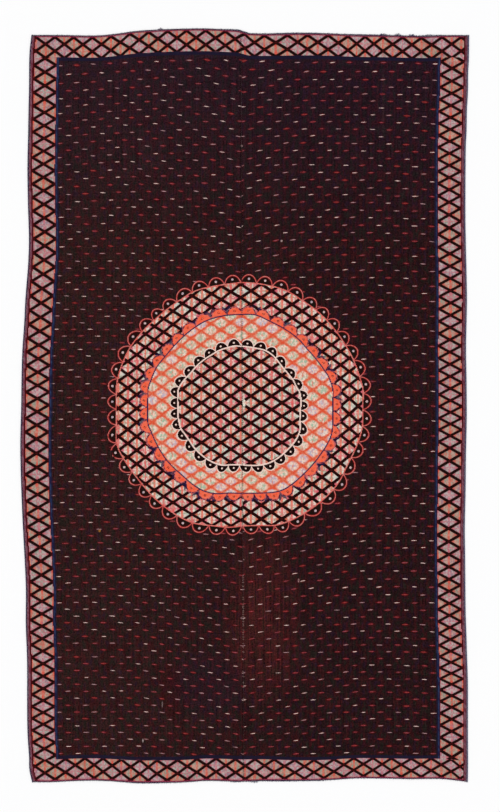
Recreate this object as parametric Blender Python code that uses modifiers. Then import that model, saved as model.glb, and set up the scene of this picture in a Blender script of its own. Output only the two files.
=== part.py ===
"""A woven wool serape lying flat: two woven halves, a bound edge and short frayed ends.

Metres, +Z up. X runs across the cloth, Y along its warp, and its underside rests on Z = 0.
Places on the cloth are first given as on the loom, where it is a true rectangle. lay() then
moves each one to where the worn, uneven cloth has it.
"""
import math
import random

import bmesh
import bpy

# The cloth as it left the loom
CLOTH_WIDTH = 1.300
CLOTH_LENGTH = 2.220
PANEL_THICK = 0.0022
PIECE_GAP = 0.0003

# The join of the two halves leans a little
SEAM_TOP_X = -0.0195
SEAM_FOOT_X = -0.0113

# The yarn round the edge
SIDE_EDGING_WIDTH = 0.0045
END_EDGING_WIDTH = 0.0030
EDGING_THICK = 0.0026
EDGING_ROUNDING = 0.0008
LEFT_TOP_SPIKE = 0.0030
RIGHT_FOOT_SPIKE = 0.0035

# How far an uneven edge still pulls on the cloth inside it
EDGE_REACH = 0.42

# Middle of the finished cloth's box, from the loom's middle
BOX_MIDDLE_X = -0.008717
BOX_MIDDLE_Y = 0.003697

# Place along the edge, and how far the edge stands outside the true rectangle there
LEFT_EDGE = (
    (-1.117, -0.0113), (-1.072, -0.0015), (-1.037, -0.0005), (-0.966, 0.0040),
    (-0.894, 0.0052), (-0.752, 0.0055), (-0.645, 0.0092), (-0.538, 0.0090),
    (-0.431, 0.0138), (-0.324, 0.0194), (-0.217, 0.0235), (-0.110, 0.0255),
    (-0.003, 0.0230), (0.104, 0.0215), (0.175, 0.0190), (0.246, 0.0140),
    (0.318, 0.0105), (0.389, 0.0049), (0.424, 0.0022), (0.496, -0.0002),
    (0.603, 0.0028), (0.710, 0.0043), (0.816, 0.0022), (0.888, 0.0010),
    (0.959, -0.0005), (1.030, -0.0010), (1.066, -0.0025), (1.104, -0.0070),
)
RIGHT_EDGE = (
    (-1.105, 0.0040), (-1.060, 0.0048), (-0.966, 0.0043), (-0.823, 0.0043),
    (-0.752, 0.0022), (-0.680, 0.0000), (-0.609, -0.0023), (-0.431, -0.0040),
    (-0.360, -0.0048), (-0.253, -0.0026), (-0.146, -0.0015), (-0.040, 0.0007),
    (0.068, 0.0004), (0.175, -0.0012), (0.282, 0.0010), (0.318, 0.0015),
    (0.389, 0.0004), (0.460, -0.0012), (0.567, -0.0031), (0.710, -0.0026),
    (0.781, -0.0018), (0.816, 0.0002), (0.888, 0.0015), (0.935, 0.0044),
    (1.000, 0.0052), (1.030, 0.0070), (1.104, 0.0080),
)
TOP_EDGE = (
    (-0.643, -0.0056), (-0.569, -0.0056), (-0.450, -0.0068), (-0.388, -0.0012),
    (-0.334, 0.0062), (-0.250, 0.0113), (-0.171, 0.0137), (-0.118, 0.0137),
    (-0.064, 0.0113), (-0.026, 0.0086), (0.007, -0.0003), (0.165, 0.0003),
    (0.239, -0.0006), (0.313, -0.0039), (0.405, -0.0056), (0.521, -0.0080),
    (0.571, -0.0059), (0.646, -0.0059),
)
FOOT_EDGE = (
    (-0.593, 0.0048), (-0.498, 0.0006), (-0.438, 0.0006), (-0.332, 0.0068),
    (-0.260, 0.0068), (-0.192, 0.0056), (-0.121, 0.0009), (-0.026, 0.0033),
    (0.055, 0.0009), (0.150, 0.0009), (0.245, -0.0015), (0.316, -0.0062),
    (0.387, -0.0062), (0.479, -0.0045), (0.574, -0.0045), (0.650, 0.0039),
)

# Soft ridges along the warp, above and below the round figure and along the join:
# x and y of the middle, half the length, half the width, height
PUCKERS = (
    (-0.052, 0.509, 0.130, 0.015, 0.0022),
    (0.013, 0.525, 0.150, 0.014, 0.0018),
    (0.064, 0.579, 0.165, 0.016, 0.0026),
    (0.092, 0.535, 0.105, 0.013, 0.0016),
    (0.158, 0.586, 0.190, 0.017, 0.0024),
    (-0.052, -0.544, 0.100, 0.015, 0.0017),
    (0.025, -0.440, 0.090, 0.013, 0.0019),
    (0.065, -0.473, 0.120, 0.016, 0.0028),
    (0.108, -0.532, 0.110, 0.014, 0.0020),
    (0.150, -0.471, 0.130, 0.016, 0.0026),
    (0.162, -0.695, 0.150, 0.015, 0.0017),
    (-0.015, -0.687, 0.220, 0.018, 0.0020),
)

# The halves are meshed closely where they pucker
LEFT_FINE_FROM = -0.085
RIGHT_FINE_FROM = 0.190
FINE_COLUMN = 0.009
WIDE_COLUMN = 0.050
FINE_BANDS = ((-0.90, -0.34), (0.36, 0.78))
FINE_ROW = 0.045
WIDE_ROW = 0.070

# A face whose normal leans this far outwards belongs to the outer side
OUTWARD = 0.7

# Frayed warp ends beyond the end edgings
STUB_PITCH = 0.0145
STUB_ROOT_HALF = 0.0011
STUB_TIP_SHARE = 0.5
STUB_SHORT = (0.0016, 0.0034)
STUB_BEND_OVER = 0.0045
STUB_LEAN = 0.45
STUB_TURN_BACK = 0.6
# Where the ends stand out longest: x of the middle, half the spread, added length
TOP_TUFTS = (
    (-0.260, 0.006, 0.0080), (0.400, 0.012, 0.0060), (0.441, 0.008, 0.0080),
    (0.482, 0.009, 0.0075), (0.530, 0.022, 0.0055), (0.335, 0.040, 0.0018),
)
FOOT_TUFTS = ((0.019, 0.008, 0.0085), (-0.035, 0.012, 0.0030), (0.270, 0.020, 0.0020))
TOP_DRAW = 11
FOOT_DRAW = 23


def read_table(table, place):
    """Reads a table of places and heights as one smooth curve, level past its ends."""
    if place <= table[0][0]:
        return table[0][1]
    if place >= table[-1][0]:
        return table[-1][1]
    row = next(i for i in range(len(table) - 1) if place <= table[i + 1][0])
    (start, low), (end, high) = table[row], table[row + 1]
    before = table[max(row - 1, 0)]
    after = table[min(row + 2, len(table) - 1)]
    slope_in = (high - before[1]) / (end - before[0])
    slope_out = (after[1] - low) / (after[0] - start)
    span = end - start
    t = (place - start) / span
    return (
        low * (2 * t**3 - 3 * t**2 + 1)
        + slope_in * span * (t**3 - 2 * t**2 + t)
        + high * (3 * t**2 - 2 * t**3)
        + slope_out * span * (t**3 - t**2)
    )


def pull(depth):
    """Share of an edge's wander that is left at a depth inside the cloth."""
    near = max(0.0, 1.0 - max(depth, 0.0) / EDGE_REACH)
    return near * near * (3.0 - 2.0 * near)


def lay(x, y):
    """Where a place on the loom lies on the uneven cloth."""
    half_width = CLOTH_WIDTH / 2
    half_length = CLOTH_LENGTH / 2
    across = read_table(RIGHT_EDGE, y) * pull(half_width - x)
    across -= read_table(LEFT_EDGE, y) * pull(half_width + x)
    along = read_table(TOP_EDGE, x) * pull(half_length - y)
    along -= read_table(FOOT_EDGE, x) * pull(half_length + y)
    return x + across - BOX_MIDDLE_X, y + along - BOX_MIDDLE_Y


def rise(x, y):
    """Height of the soft ridges at a place on the loom."""
    height = 0.0
    for mid_x, mid_y, half_length, half_width, top in PUCKERS:
        across = abs(x - mid_x) / half_width
        along = abs(y - mid_y) / half_length
        if across < 1.0 and along < 1.0:
            height += top * math.cos(across * math.pi / 2) ** 2 * (1.0 - along**2) ** 2
    return height


def seam_x(y):
    """X of the join at a place along the cloth."""
    share = 0.5 + y / CLOTH_LENGTH
    return SEAM_FOOT_X + (SEAM_TOP_X - SEAM_FOOT_X) * share


def steps_between(start, end, step):
    """Even steps from start up to end, without end, no wider than step."""
    count = math.ceil(abs(end - start) / step)
    return [start + (end - start) * i / count for i in range(count)]


def row_places():
    """Y of the rows of both halves and of the side edgings."""
    foot = -CLOTH_LENGTH / 2 + END_EDGING_WIDTH + PIECE_GAP
    places = []
    start = foot
    for band_start, band_end in FINE_BANDS:
        places += steps_between(start, band_start, WIDE_ROW)
        places += steps_between(band_start, band_end, FINE_ROW)
        start = band_end
    return places + steps_between(start, -foot, WIDE_ROW) + [-foot]


def column_shares(outer_x, fine_from):
    """Shares of a half's width, from its outer edge at 0 to the join at 1."""
    join = seam_x(0.0)
    places = steps_between(outer_x, fine_from, WIDE_COLUMN)
    places += steps_between(fine_from, join, FINE_COLUMN) + [join]
    return [(x - outer_x) / (join - outer_x) for x in places]


def panel_edge(side):
    """X of a half's outer edge, where side is -1 for the left and 1 for the right."""
    return side * (CLOTH_WIDTH / 2 - SIDE_EDGING_WIDTH - PIECE_GAP)


def column_x(side, share, y):
    """X of a column of one half in the row at y."""
    outer = panel_edge(side)
    join = seam_x(y) + side * PIECE_GAP / 2
    return outer + (join - outer) * share


def fabric(name, colour, roughness):
    """A plain cloth material."""
    material = bpy.data.materials.new(name)
    material.diffuse_color = (*colour, 1.0)
    material.use_nodes = True
    shader = material.node_tree.nodes["Principled BSDF"]
    shader.inputs["Base Color"].default_value = (*colour, 1.0)
    shader.inputs["Roughness"].default_value = roughness
    shader.inputs["Metallic"].default_value = 0.0
    return material


def add_piece(name, bm, material, collection):
    """Puts a finished mesh into the scene under its own name."""
    mesh = bpy.data.meshes.new(name)
    bm.to_mesh(mesh)
    bm.free()
    mesh.materials.append(material)
    piece = bpy.data.objects.new(name, mesh)
    collection.objects.link(piece)
    return piece


def thick_sheet(columns, rows, thickness, place):
    """A closed sheet of columns by rows of faces; place gives each crossing's underside.

    Its thickness is straight up, so its rim stands upright beside its neighbour's.
    """
    bm = bmesh.new()
    bmesh.ops.create_grid(bm, x_segments=columns, y_segments=rows, size=1.0)
    for vert in bm.verts:
        column = round((vert.co.x + 1.0) / 2.0 * columns)
        row = round((vert.co.y + 1.0) / 2.0 * rows)
        vert.co = place(column, row)
    raised = bmesh.ops.extrude_face_region(bm, geom=bm.faces[:])
    top = [item for item in raised["geom"] if isinstance(item, bmesh.types.BMVert)]
    bmesh.ops.translate(bm, verts=top, vec=(0.0, 0.0, thickness))
    bmesh.ops.recalc_face_normals(bm, faces=bm.faces[:])
    return bm


def woven_half(name, side, shares, material, collection):
    """One woven half: a thin sheet with the cloth's outline and soft ridges."""
    rows = row_places()
    if side > 0:
        shares = shares[::-1]

    def place(column, row):
        y = rows[row]
        x = column_x(side, shares[column], y)
        return (*lay(x, y), rise(x, y))

    bm = thick_sheet(len(shares) - 1, len(rows) - 1, PANEL_THICK, place)
    return add_piece(name, bm, material, collection)


def side_edging(name, side, spike_top, spike_foot, material, collection):
    """The yarn bound down one long side, with its loose tail at one corner."""
    reach = CLOTH_LENGTH / 2
    rows = [-reach - spike_foot] + row_places() + [reach + spike_top]
    outer = CLOTH_WIDTH / 2
    inner = outer - SIDE_EDGING_WIDTH
    edges = (-outer, -inner) if side < 0 else (inner, outer)

    def place(column, row):
        return (*lay(edges[column], rows[row]), 0.0)

    bm = thick_sheet(1, len(rows) - 1, EDGING_THICK, place)
    piece = add_piece(name, bm, material, collection)
    rounding = piece.modifiers.new("rounding", "BEVEL")
    rounding.width = EDGING_ROUNDING
    rounding.segments = 1
    rounding.limit_method = "ANGLE"
    rounding.angle_limit = math.radians(40)
    return piece


def end_columns(y, left_shares, right_shares):
    """X of every panel column at one end of the cloth, from left to right."""
    inner = CLOTH_WIDTH / 2 - SIDE_EDGING_WIDTH - PIECE_GAP
    left = [column_x(-1, share, y) for share in left_shares[1:-1]]
    right = [column_x(1, share, y) for share in right_shares[1:-1]]
    return [-inner] + left + [seam_x(y)] + right[::-1] + [inner]


def stub_places(columns, draw):
    """X of the frayed ends, each clear of the panel's columns."""
    places = []
    for start, end in zip(columns, columns[1:]):
        count = math.floor(end / STUB_PITCH) - math.floor(start / STUB_PITCH)
        for i in range(count):
            width = (end - start) / count
            room = max(width / 2 - 2 * STUB_ROOT_HALF, 0.0)
            places.append(start + width * (i + 0.5) + draw.uniform(-room, room))
    return places


def stub_length(x, tufts, draw):
    """Length of the frayed end at x."""
    length = draw.uniform(*STUB_SHORT)
    for middle, spread, added in tufts:
        near = max(0.0, 1.0 - abs(x - middle) / (2.0 * spread))
        length += added * near
    return length


def pull_out(bm, face, end_sign, length, lean):
    """Draws one frayed end out of the edging's side and tapers it on the floor."""
    sections = 2 if length > STUB_BEND_OVER else 1
    taper = STUB_TIP_SHARE ** (1.0 / sections)
    for section in range(sections):
        drawn = bmesh.ops.extrude_discrete_faces(bm, faces=[face])
        face = drawn["faces"][0]
        middle = face.calc_center_median()
        shift_y = end_sign * length / sections
        shift_x = lean * length / sections * (-STUB_TURN_BACK if section else 1.0)
        for vert in face.verts:
            vert.co.x = middle.x + (vert.co.x - middle.x) * taper + shift_x
            vert.co.y = middle.y + (vert.co.y - middle.y) * taper + shift_y
            vert.co.z *= taper


def end_edging(name, end_sign, columns, tufts, seed, material, collection):
    """The yarn along one end of the cloth, with the warp's frayed ends fused to it."""
    draw = random.Random(seed)
    stubs = stub_places(columns, draw)
    roots = [x + side * STUB_ROOT_HALF for x in stubs for side in (-1, 1)]
    stations = sorted(columns + roots)
    outer_y = end_sign * CLOTH_LENGTH / 2
    inner_y = end_sign * (CLOTH_LENGTH / 2 - END_EDGING_WIDTH)
    edges = (inner_y, outer_y) if end_sign > 0 else (outer_y, inner_y)

    def place(column, row):
        x, y = stations[column], edges[row]
        index = next(i for i in range(len(columns) - 1) if x <= columns[i + 1])
        start, end = columns[index], columns[index + 1]
        share = (x - start) / (end - start)
        start_x, start_y = lay(start, y)
        end_x, end_y = lay(end, y)
        at_x = start_x + (end_x - start_x) * share
        return at_x, start_y + (end_y - start_y) * share, 0.0

    bm = thick_sheet(len(stations) - 1, 1, EDGING_THICK, place)
    sides = [face for face in bm.faces if face.normal.y * end_sign > OUTWARD]
    sides.sort(key=lambda face: face.calc_center_median().x)
    for x in stubs:
        root = stations.index(x - STUB_ROOT_HALF)
        length = stub_length(x, tufts, draw)
        lean = draw.uniform(-STUB_LEAN, STUB_LEAN)
        pull_out(bm, sides[root], end_sign, length, lean)
    return add_piece(name, bm, material, collection)


def clear_scene():
    """Removes whatever the file opened with."""
    for old in list(bpy.data.objects):
        bpy.data.objects.remove(old, do_unlink=True)


def main():
    clear_scene()
    parts = bpy.data.collections.new("serape")
    bpy.context.scene.collection.children.link(parts)
    field = fabric("dark_brown_wool", (0.024, 0.013, 0.014), 0.95)
    edge = fabric("navy_wool", (0.016, 0.015, 0.045), 0.95)

    left_shares = column_shares(panel_edge(-1), LEFT_FINE_FROM)
    right_shares = column_shares(panel_edge(1), RIGHT_FINE_FROM)
    woven_half("left_panel", -1, left_shares, field, parts)
    woven_half("right_panel", 1, right_shares, field, parts)
    side_edging("left_edging", -1, LEFT_TOP_SPIKE, 0.0, edge, parts)
    side_edging("right_edging", 1, 0.0, RIGHT_FOOT_SPIKE, edge, parts)

    end_y = CLOTH_LENGTH / 2 - END_EDGING_WIDTH - PIECE_GAP
    top = end_columns(end_y, left_shares, right_shares)
    foot = end_columns(-end_y, left_shares, right_shares)
    end_edging("top_edging", 1, top, TOP_TUFTS, TOP_DRAW, edge, parts)
    end_edging("bottom_edging", -1, foot, FOOT_TUFTS, FOOT_DRAW, edge, parts)


main()
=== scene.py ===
"""A woven wool serape laid flat on a pale floor and seen from straight above.

Metres, +Z up, in the CAD model's frame. Places on the cloth are given as on the loom, where it is
a true rectangle, and lay() moves them to where the worn cloth has them.
"""
import math
import random
from functools import partialmethod

import bpy
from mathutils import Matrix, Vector, noise


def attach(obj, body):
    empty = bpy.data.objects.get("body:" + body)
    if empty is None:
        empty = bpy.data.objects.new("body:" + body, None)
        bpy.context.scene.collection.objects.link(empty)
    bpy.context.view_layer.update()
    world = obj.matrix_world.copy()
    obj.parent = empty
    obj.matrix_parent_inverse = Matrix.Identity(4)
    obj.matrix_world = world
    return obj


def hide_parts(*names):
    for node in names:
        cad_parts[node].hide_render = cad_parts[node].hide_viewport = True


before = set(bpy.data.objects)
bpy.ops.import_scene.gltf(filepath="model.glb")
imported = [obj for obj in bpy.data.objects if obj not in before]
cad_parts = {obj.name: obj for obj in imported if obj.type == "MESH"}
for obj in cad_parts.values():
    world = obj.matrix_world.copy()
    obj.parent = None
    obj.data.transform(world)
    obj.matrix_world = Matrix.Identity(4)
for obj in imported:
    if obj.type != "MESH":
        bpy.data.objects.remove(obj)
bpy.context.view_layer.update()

# The cloth as it left the loom, the same as in the CAD source
CLOTH_WIDTH = 1.300
CLOTH_LENGTH = 2.220
PANEL_THICK = 0.0022
PIECE_GAP = 0.0003
SEAM_TOP_X = -0.0195
SEAM_FOOT_X = -0.0113
SIDE_EDGING_WIDTH = 0.0045
END_EDGING_WIDTH = 0.0030
EDGING_THICK = 0.0026
EDGE_REACH = 0.42
BOX_MIDDLE_X = -0.008717
BOX_MIDDLE_Y = 0.003697

# Place along the edge, and how far the edge stands outside the true rectangle there
LEFT_EDGE = (
    (-1.117, -0.0113), (-1.072, -0.0015), (-1.037, -0.0005), (-0.966, 0.004),
    (-0.894, 0.0052), (-0.752, 0.0055), (-0.645, 0.0092), (-0.538, 0.009),
    (-0.431, 0.0138), (-0.324, 0.0194), (-0.217, 0.0235), (-0.11, 0.0255),
    (-0.003, 0.023), (0.104, 0.0215), (0.175, 0.019), (0.246, 0.014),
    (0.318, 0.0105), (0.389, 0.0049), (0.424, 0.0022), (0.496, -0.0002),
    (0.603, 0.0028), (0.71, 0.0043), (0.816, 0.0022), (0.888, 0.001),
    (0.959, -0.0005), (1.03, -0.001), (1.066, -0.0025), (1.104, -0.007),
)
RIGHT_EDGE = (
    (-1.105, 0.004), (-1.06, 0.0048), (-0.966, 0.0043), (-0.823, 0.0043),
    (-0.752, 0.0022), (-0.68, 0), (-0.609, -0.0023), (-0.431, -0.004),
    (-0.36, -0.0048), (-0.253, -0.0026), (-0.146, -0.0015), (-0.04, 0.0007),
    (0.068, 0.0004), (0.175, -0.0012), (0.282, 0.001), (0.318, 0.0015),
    (0.389, 0.0004), (0.46, -0.0012), (0.567, -0.0031), (0.71, -0.0026),
    (0.781, -0.0018), (0.816, 0.0002), (0.888, 0.0015), (0.935, 0.0044),
    (1.000, 0.0052), (1.03, 0.007), (1.104, 0.008),
)
TOP_EDGE = (
    (-0.643, -0.0056), (-0.569, -0.0056), (-0.45, -0.0068), (-0.388, -0.0012),
    (-0.334, 0.0062), (-0.25, 0.0113), (-0.171, 0.0137), (-0.118, 0.0137),
    (-0.064, 0.0113), (-0.026, 0.0086), (0.007, -0.0003), (0.165, 0.0003),
    (0.239, -0.0006), (0.313, -0.0039), (0.405, -0.0056), (0.521, -0.008),
    (0.571, -0.0059), (0.646, -0.0059),
)
FOOT_EDGE = (
    (-0.593, 0.0048), (-0.498, 0.0006), (-0.438, 0.0006), (-0.332, 0.0068),
    (-0.26, 0.0068), (-0.192, 0.0056), (-0.121, 0.0009), (-0.026, 0.0033),
    (0.055, 0.0009), (0.15, 0.0009), (0.245, -0.0015), (0.316, -0.0062),
    (0.387, -0.0062), (0.479, -0.0045), (0.574, -0.0045), (0.65, 0.0039),
)

# Soft ridges along the warp: x and y of the middle, half the length, half the width, height
PUCKERS = (
    (-0.052, 0.509, 0.13, 0.015, 0.0022),
    (0.013, 0.525, 0.15, 0.014, 0.0018),
    (0.064, 0.579, 0.165, 0.016, 0.0026),
    (0.092, 0.535, 0.105, 0.013, 0.0016),
    (0.158, 0.586, 0.19, 0.017, 0.0024),
    (-0.052, -0.544, 0.1, 0.015, 0.0017),
    (0.025, -0.44, 0.09, 0.013, 0.0019),
    (0.065, -0.473, 0.12, 0.016, 0.0028),
    (0.108, -0.532, 0.11, 0.014, 0.002),
    (0.15, -0.471, 0.13, 0.016, 0.0026),
    (0.162, -0.695, 0.15, 0.015, 0.0017),
    (-0.015, -0.687, 0.22, 0.018, 0.002),
)

# Longer frayed ends: place along the end, half the width of the tuft, length
TOP_TUFTS = (
    (-0.26, 0.006, 0.008), (-0.03, 0.03, 0.0035), (0.14, 0.06, 0.003),
    (0.4, 0.012, 0.007), (0.441, 0.008, 0.009), (0.482, 0.009, 0.0085),
    (0.53, 0.022, 0.0065), (0.335, 0.04, 0.0025),
)
FOOT_TUFTS = (
    (0.019, 0.008, 0.009), (-0.035, 0.012, 0.004), (0.09, 0.06, 0.0035),
    (-0.3, 0.05, 0.003), (0.19, 0.03, 0.003),
)
# Where the seam was sewn again with pale thread, along the cloth
PALE_STITCHES = (-0.882, -0.490)

# The weave: one step across is a pair of warps, one step along a few wefts
MESH_STEP = 0.006
RIPPLE_WIDE = 0.00028
RIPPLE_RIBS = 0.00022
WARP_STEP = 0.0022
WEFT_STEP = 0.0009

# Rows of small brocaded dashes. Each line is a row's number from the top, and its height at
# four places across that half of the cloth
LEFT_STATIONS = (-0.554, -0.352, -0.150, -0.034)
LEFT_ROWS = (
    (0, 1.013, 1.023, 1.03, 1.029), (2, 0.961, 0.971, 0.983, 0.982),
    (6, 0.87, 0.881, 0.892, 0.893), (14, 0.696, 0.706, 0.71, 0.714),
    (28, 0.39, 0.391, 0.393, 0.402), (41, 0.131, 0.131, 0.133, 0.135),
    (53, -0.12, -0.12, -0.119, -0.118), (67, -0.405, -0.401, -0.398, -0.395),
    (78, -0.621, -0.621, -0.626, -0.628), (98, -1.029, -1.027, -1.032, -1.031),
)
RIGHT_STATIONS = (0.001, 0.153, 0.355, 0.557)
RIGHT_ROWS = (
    (0, 1.027, 1.022, 1.023, 1.018), (2, 0.979, 0.972, 0.972, 0.969),
    (6, 0.891, 0.889, 0.888, 0.883), (14, 0.716, 0.719, 0.717, 0.712),
    (28, 0.404, 0.407, 0.406, 0.402), (46, 0.015, 0.014, 0.009, 0.002),
    (63, -0.395, -0.383, -0.376, -0.376), (66, -0.454, -0.449, -0.441, -0.44),
    (74, -0.628, -0.627, -0.624, -0.626), (94, -1.029, -1.03, -1.026, -1.03),
)
DASH_START = -0.5557
DASH_PITCH = 0.05034
DASH_ROW = 0.0208
DASH_HALF_LENGTH = 0.0086
DASH_HALF_HEIGHT = 0.0011
SEAM_MIDDLE_X = -0.0067
# How far the columns of dashes have crept, in columns. Each line is a height, and the creep at
# five places across that half
LEFT_CREEP_STATIONS = (-0.520, -0.410, -0.300, -0.180, -0.070)
LEFT_CREEP = (
    (-0.93, 0.02, 0.1, 0.07, -0.1, -0.15), (-0.63, 0.05, 0.11, 0.02, -0.15, -0.23),
    (-0.45, 0.06, 0.05, -0.12, -0.33, -0.36), (-0.35, -0.02, -0.1, -0.27, -0.38, -0.4),
    (-0.21, -0.07, -0.2, -0.4, -0.45, -0.45), (0.03, -0.11, -0.26, -0.45, -0.5, -0.5),
    (0.33, 0.06, -0.1, -0.4, -0.52, -0.55), (0.57, 0.05, 0, -0.26, -0.45, -0.49),
    (0.81, 0, -0.09, -0.37, -0.51, -0.46), (0.99, -0.03, -0.11, -0.31, -0.39, -0.25),
)
RIGHT_CREEP_STATIONS = (0.010, 0.100, 0.230, 0.380, 0.530)
RIGHT_CREEP = (
    (-0.96, -0.16, -0.11, -0.11, -0.14, -0.08), (-0.75, -0.23, -0.17, -0.15, -0.16, -0.08),
    (-0.5, -0.27, -0.21, -0.21, -0.2, -0.06), (-0.36, -0.28, -0.22, -0.15, -0.16, -0.08),
    (-0.21, -0.25, -0.2, -0.13, -0.11, -0.06), (0.03, -0.25, -0.2, -0.15, -0.08, -0.03),
    (0.3, -0.3, -0.26, -0.22, -0.14, -0.07), (0.51, -0.37, -0.27, -0.24, -0.22, -0.06),
    (0.69, -0.34, -0.23, -0.2, -0.16, -0.02), (0.87, -0.24, -0.13, -0.08, -0.11, -0.01),
    (0.99, -0.17, -0.03, 0.03, 0, 0),
)

# The borders' diamonds: height of a row's middle down each side, and its number
LEFT_DIAMONDS = (
    (-1.127, 56), (-1.087, 54.5), (-0.978, 51.5), (-0.836, 47.5), (-0.688, 43.5), (-0.539, 39.5),
    (-0.376, 35.5), (-0.221, 31.5), (-0.054, 27.5), (0.103, 23.5), (0.266, 19.5),
    (0.394, 16.5), (0.561, 12.5), (0.721, 8.5), (0.874, 4.5), (1.075, -0.5), (1.115, -1.5),
)
RIGHT_DIAMONDS = (
    (-1.123, 59.7), (-1.081, 58.5), (-1.000, 56.5), (-0.857, 52.5), (-0.725, 48.5), (-0.583, 44.5),
    (-0.438, 40.5), (-0.282, 36.5), (-0.122, 32.5), (0.019, 28.5), (0.163, 24.5),
    (0.309, 20.5), (0.455, 16.5), (0.608, 12.5), (0.753, 8.5), (0.895, 4.5),
    (0.986, 2), (1.025, 1), (1.083, -0.5), (1.121, -1.5),
)
# The same across the ends: x of a column, and its number
TOP_DIAMONDS = (
    (-0.659, -1.5), (-0.6, -0.5), (-0.378, 3.5), (-0.153, 7.5), (-0.037, 9.5),
    (0.05, 11), (0.118, 12), (0.178, 13), (0.239, 14), (0.298, 15), (0.349, 16),
    (0.402, 17), (0.46, 18), (0.516, 19), (0.577, 20), (0.634, 21), (0.662, 21.5),
)
FOOT_DIAMONDS = (
    (-0.66, -1.5), (-0.602, -0.5), (-0.541, 0.5), (-0.483, 1.5), (-0.429, 2.5), (-0.375, 3.5),
    (-0.32, 4.5), (-0.269, 5.5), (-0.208, 6.5), (-0.151, 7.5), (-0.036, 9.5), (0.022, 10.5),
    (0.079, 11.5), (0.14, 12.5), (0.197, 13.5), (0.256, 14.5), (0.315, 15.5), (0.372, 16.5),
    (0.427, 17.5), (0.486, 18.5), (0.545, 19.5), (0.604, 20.5), (0.656, 21.5),
)
# Depth inside the cloth's edge where the sides' diamonds start and end
SIDE_LATTICE = {-1: (0.0147, 0.0808), 1: (0.0145, 0.0826)}
# Depth where the stripes outside the sides' diamonds start
MAUVE_START = {-1: 0.0046, 1: 0.0040}
RED_START = {-1: 0.0102, 1: 0.0112}
# Depth of the outer row's middle at an end, height of a row, and depth of the last half row
TOP_BAND = (0.0273, 0.0413, 0.0665)
FOOT_BAND = (0.0278, 0.0390, 0.0668)
FOOT_SQUEEZE = 0.095
# Height of a side's diamond, width of an end's and of the round figure's
SIDE_DIAMOND = 0.0385
END_DIAMOND = 0.0570
RING_DIAMOND = 0.0600
# Lines inside the side diamonds, and the stripe outside the end diamonds
NAVY_LINE = 0.0104
BLUE_LINE = 0.0066
WINE_LINE = 0.0020
END_STRIPE = 0.0062
# Half the thickness of the lines between diamonds, as a share of a diamond
BORDER_LINE = 0.119
RING_LINE = 0.133

# Small marks of wear: x and y, half the width, half the length, colour on a screen, strength
MARKS = (
    (-0.0088, 0.7712, 0.0035, 0.0035, (150, 120, 118), 0.9),
    (0.1094, 0.489, 0.0035, 0.004, (160, 134, 130), 0.9),
    (-0.4312, -0.3714, 0.0045, 0.0045, (148, 98, 44), 0.9),
    (-0.2447, -0.8856, 0.0022, 0.012, (130, 112, 112), 0.9),
    (-0.3023, -0.9945, 0.0022, 0.0065, (150, 136, 134), 0.9),
    (0.16, -0.519, 0.003, 0.007, (150, 110, 110), 0.8),
    (-0.22, -0.842, 0.04, 0.09, (54, 12, 12), 0.4),
    (-0.11, -0.83, 0.13, 0.11, (36, 22, 40), 0.2),
    (0.4108, 0.908, 0.0026, 0.115, (74, 50, 54), 0.35),
)
# Places of the reddish patch below the round figure and of the pale worn spot in it
RED_PATCH = (0.052, -0.630, 0.125, 0.2941)
WORN_SPOT = (-0.0016, 0.0080, 0.0065, 0.0130)
BLACK = (27, 11, 9)
RING_BLACK = (32, 9, 8)
CROSSING = (66, 13, 14)
CREAM = (240, 208, 196)

# The round figure: how far the weaver's circles stand from true ones, by the angle from the top
ROUND_X = -0.0205
ROUND_Y = 0.0056
OUTER_WANDER = (
    (0, 0.996), (9, 0.997), (22, 1.000), (30, 0.987), (39, 0.984), (50, 0.98), (58, 0.98),
    (68, 0.987), (77, 0.994), (83, 1.002), (91, 0.992), (100, 1.004), (115, 0.995), (121, 0.997),
    (126, 1.01), (132, 1.018), (149, 1.02), (157, 1.022), (164, 1.017), (169, 0.997),
    (175, 0.984), (180, 0.985), (185, 0.997), (193, 1.007), (198, 1.022), (203, 1.035),
    (223, 1.031), (232, 1.028), (241, 1.038), (247, 1.051), (251, 1.056), (255, 1.048),
    (259, 1.03), (264, 1.017), (270, 1.012), (275, 1.015), (280, 1.022), (288, 1.02),
    (297, 1.014), (304, 1.002), (310, 0.992), (315, 0.984), (324, 0.982), (331, 0.987),
    (336, 0.997), (341, 0.997), (346, 0.99), (356, 0.99), (360, 0.996),
)
MIDDLE_WANDER = (
    (0, 0.978), (10, 0.985), (18, 0.961), (27, 0.951), (43, 0.946), (49, 0.939), (54, 0.945),
    (59, 0.954), (67, 0.978), (72, 0.997), (81, 1.01), (86, 1.000), (92, 0.998), (97, 1.004),
    (103, 1.018), (108, 1.031), (114, 1.027), (121, 1.016), (135, 1.008), (146, 1.018),
    (153, 1.024), (158, 1.013), (164, 0.988), (169, 0.97), (175, 0.957), (180, 0.954),
    (186, 0.956), (190, 0.967), (194, 0.988), (200, 1.005), (204, 1.01), (210, 1.004),
    (220, 0.988), (234, 0.997), (243, 1.000), (254, 1.011), (258, 1.022), (263, 1.013),
    (268, 1.005), (275, 1.007), (280, 1.016), (286, 1.005), (293, 0.998), (299, 0.981),
    (305, 0.967), (313, 0.962), (320, 0.965), (329, 0.974), (337, 0.983), (348, 0.983),
    (355, 0.978), (360, 0.978),
)
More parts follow.
